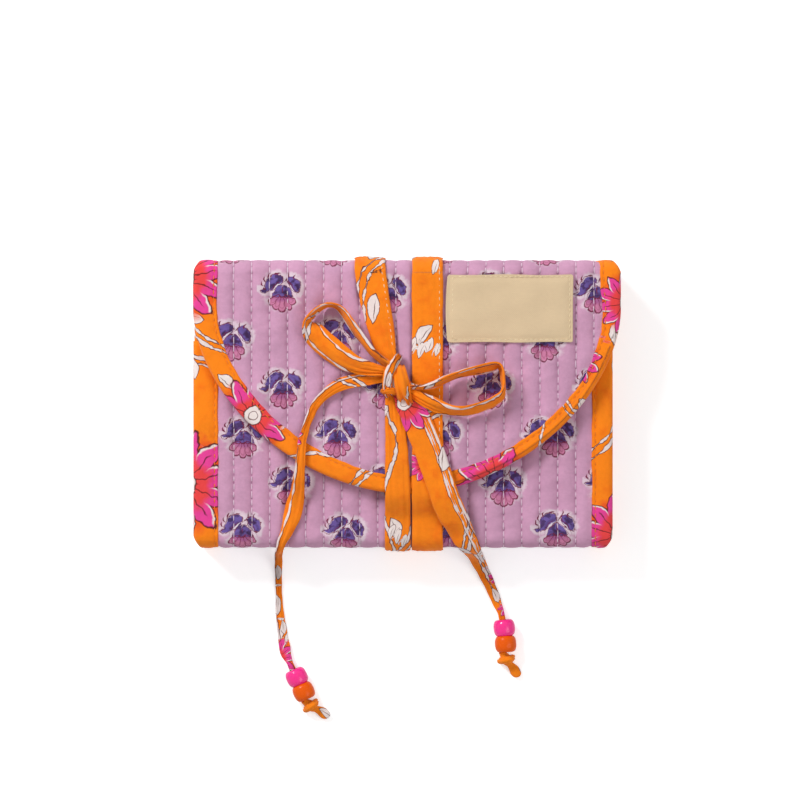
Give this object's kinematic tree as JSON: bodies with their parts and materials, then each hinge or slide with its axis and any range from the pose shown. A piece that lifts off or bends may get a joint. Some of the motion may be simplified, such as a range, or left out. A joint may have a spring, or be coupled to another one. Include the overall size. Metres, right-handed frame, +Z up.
{
  "type": "jewelry organizer",
  "caption": "Quilted fabric jewelry case folded in three, with bound edges, rounded flap, zipped pockets, ring roll and a wound ribbon tie with beaded tails.",
  "frame": {"origin": "middle of the folded case's outline, on the surface that it lies on", "axes": "+X along the folds, +Y towards the top fold that carries the flap, +Z up out of the flap"},
  "size_m": [0.19, 0.207, 0.0434],
  "materials": {
    "quilted_cotton": "lilac block-printed cotton, quilted with running stitch",
    "lining_cotton": "plain off-white cotton",
    "pocket_cotton": "lilac printed cotton, unquilted",
    "printed_binding": "orange floral printed cotton, folded and stitched",
    "printed_ribbon": "orange floral printed cotton tie, edge stitched",
    "label_cloth": "cream woven tape, bare",
    "felt": "cream felt",
    "zip_tape": "orange woven zip tape",
    "zip_metal": "polished brass",
    "pink_bead": "glossy pink moulded plastic",
    "orange_bead": "glossy orange moulded plastic"
  },
  "bodies": {
    "back_case": {"back_panel": "quilted_cotton", "back_lining": "lining_cotton", "back_binding_left": "printed_binding", "back_binding_right": "printed_binding", "pocket_lower": "pocket_cotton", "pocket_upper": "pocket_cotton", "zip_tape_lower": "zip_tape", "zip_tape_upper": "zip_tape", "zip_teeth_lower": "zip_metal", "zip_teeth_upper": "zip_metal", "ring_bar_anchor": "printed_binding", "press_stud_socket": "zip_metal"},
    "ring_roll": {"ring_bar": "pocket_cotton", "ring_bar_tab": "printed_binding", "press_stud_cap": "zip_metal"},
    "lower_slider": {"zip_slider_lower": "zip_metal"},
    "lower_pull": {"zip_pull_lower": "zip_metal"},
    "upper_slider": {"zip_slider_upper": "zip_metal"},
    "upper_pull": {"zip_pull_upper": "zip_metal"},
    "top_fold": {"top_fold_panel": "quilted_cotton", "top_fold_lining": "lining_cotton", "top_fold_binding_left": "printed_binding", "top_fold_binding_right": "printed_binding"},
    "flap": {"flap_panel": "quilted_cotton", "flap_lining": "lining_cotton", "flap_binding": "printed_binding", "blank_label": "label_cloth", "earring_strip": "felt"},
    "bottom_fold": {"bottom_fold_panel": "quilted_cotton", "bottom_fold_lining": "lining_cotton", "bottom_fold_binding_left": "printed_binding", "bottom_fold_binding_right": "printed_binding"},
    "front": {"front_panel": "quilted_cotton", "front_lining": "lining_cotton", "front_binding_left": "printed_binding", "front_binding_right": "printed_binding", "front_binding_top": "printed_binding", "slip_pocket_left": "pocket_cotton", "slip_pocket_right": "pocket_cotton"},
    "tie": {"tie_top_turn_left": "printed_ribbon", "tie_top_turn_right": "printed_ribbon", "tie_bottom_turn_left": "printed_ribbon", "tie_bottom_turn_right": "printed_ribbon", "tie_back_outer": "printed_ribbon", "tie_back_inner": "printed_ribbon", "tie_front_straight": "printed_ribbon", "tie_front_upper": "printed_ribbon", "tie_front_lower": "printed_ribbon", "tie_knot": "printed_ribbon", "tie_bow_loop_left": "printed_ribbon", "tie_bow_loop_right": "printed_ribbon", "tie_tail_left": "printed_ribbon", "tie_tail_right": "printed_ribbon", "bead_left_pink": "pink_bead", "bead_left_orange": "orange_bead", "bead_right_pink": "pink_bead", "bead_right_orange": "orange_bead", "tie_end_knot_left": "printed_ribbon", "tie_end_knot_right": "printed_ribbon"}
  },
  "joints": [
    {"name": "top_fold_hinge", "type": "hinge", "parent": "back_case", "child": "top_fold", "pos_m": [0, 0.064, 0], "axis": [-1, 0, 0], "range_deg": [0, 90]},
    {"name": "flap_hinge", "type": "hinge", "parent": "top_fold", "child": "flap", "pos_m": [0, 0.064, 0.032], "axis": [-1, 0, 0], "range_deg": [0, 90]},
    {"name": "bottom_fold_hinge", "type": "hinge", "parent": "back_case", "child": "bottom_fold", "pos_m": [0, -0.064, 0], "axis": [1, 0, 0], "range_deg": [0, 40]},
    {"name": "front_hinge", "type": "hinge", "parent": "bottom_fold", "child": "front", "pos_m": [0, -0.064, 0.0253], "axis": [1, 0, 0], "range_deg": [0, 40]},
    {"name": "ring_roll_swing", "type": "hinge", "parent": "back_case", "child": "ring_roll", "pos_m": [-0.0703, 0.044, 0.0062], "axis": [0, -1, 0], "range_deg": [0, 22.5]},
    {"name": "tie_slip", "type": "slide", "parent": "back_case", "child": "tie", "axis": [-1, 0, 0], "range_m": [0, 0.15], "deforming": ["tie_top_turn_left", "tie_top_turn_right", "tie_bottom_turn_left", "tie_bottom_turn_right", "tie_back_outer", "tie_back_inner", "tie_front_straight", "tie_front_upper", "tie_front_lower", "tie_knot", "tie_bow_loop_left", "tie_bow_loop_right", "tie_tail_left", "tie_tail_right", "tie_end_knot_left", "tie_end_knot_right"]},
    {"name": "lower_slider_slide", "type": "slide", "parent": "back_case", "child": "lower_slider", "axis": [1, 0, 0], "range_m": [0, 0.123]},
    {"name": "lower_pull_flip", "type": "hinge", "parent": "lower_slider", "child": "lower_pull", "pos_m": [-0.0624, -0.0097, 0.0109], "axis": [0, -1, 0], "range_deg": [0, 20]},
    {"name": "upper_slider_slide", "type": "slide", "parent": "back_case", "child": "upper_slider", "axis": [1, 0, 0], "range_m": [0, 0.123]},
    {"name": "upper_pull_flip", "type": "hinge", "parent": "upper_slider", "child": "upper_pull", "pos_m": [-0.0624, 0.0209, 0.0109], "axis": [0, -1, 0], "range_deg": [0, 20]}
  ],
  "couplings": [
    {"joint": "flap_hinge", "follows": "top_fold_hinge", "ratio": 1},
    {"joint": "bottom_fold_hinge", "follows": "top_fold_hinge", "ratio": 0.4444},
    {"joint": "front_hinge", "follows": "top_fold_hinge", "ratio": 0.4444},
    {"joint": "ring_roll_swing", "follows": "top_fold_hinge", "ratio": 0.25},
    {"joint": "tie_slip", "follows": "top_fold_hinge", "m_per_rad": 0.095}
  ]
}
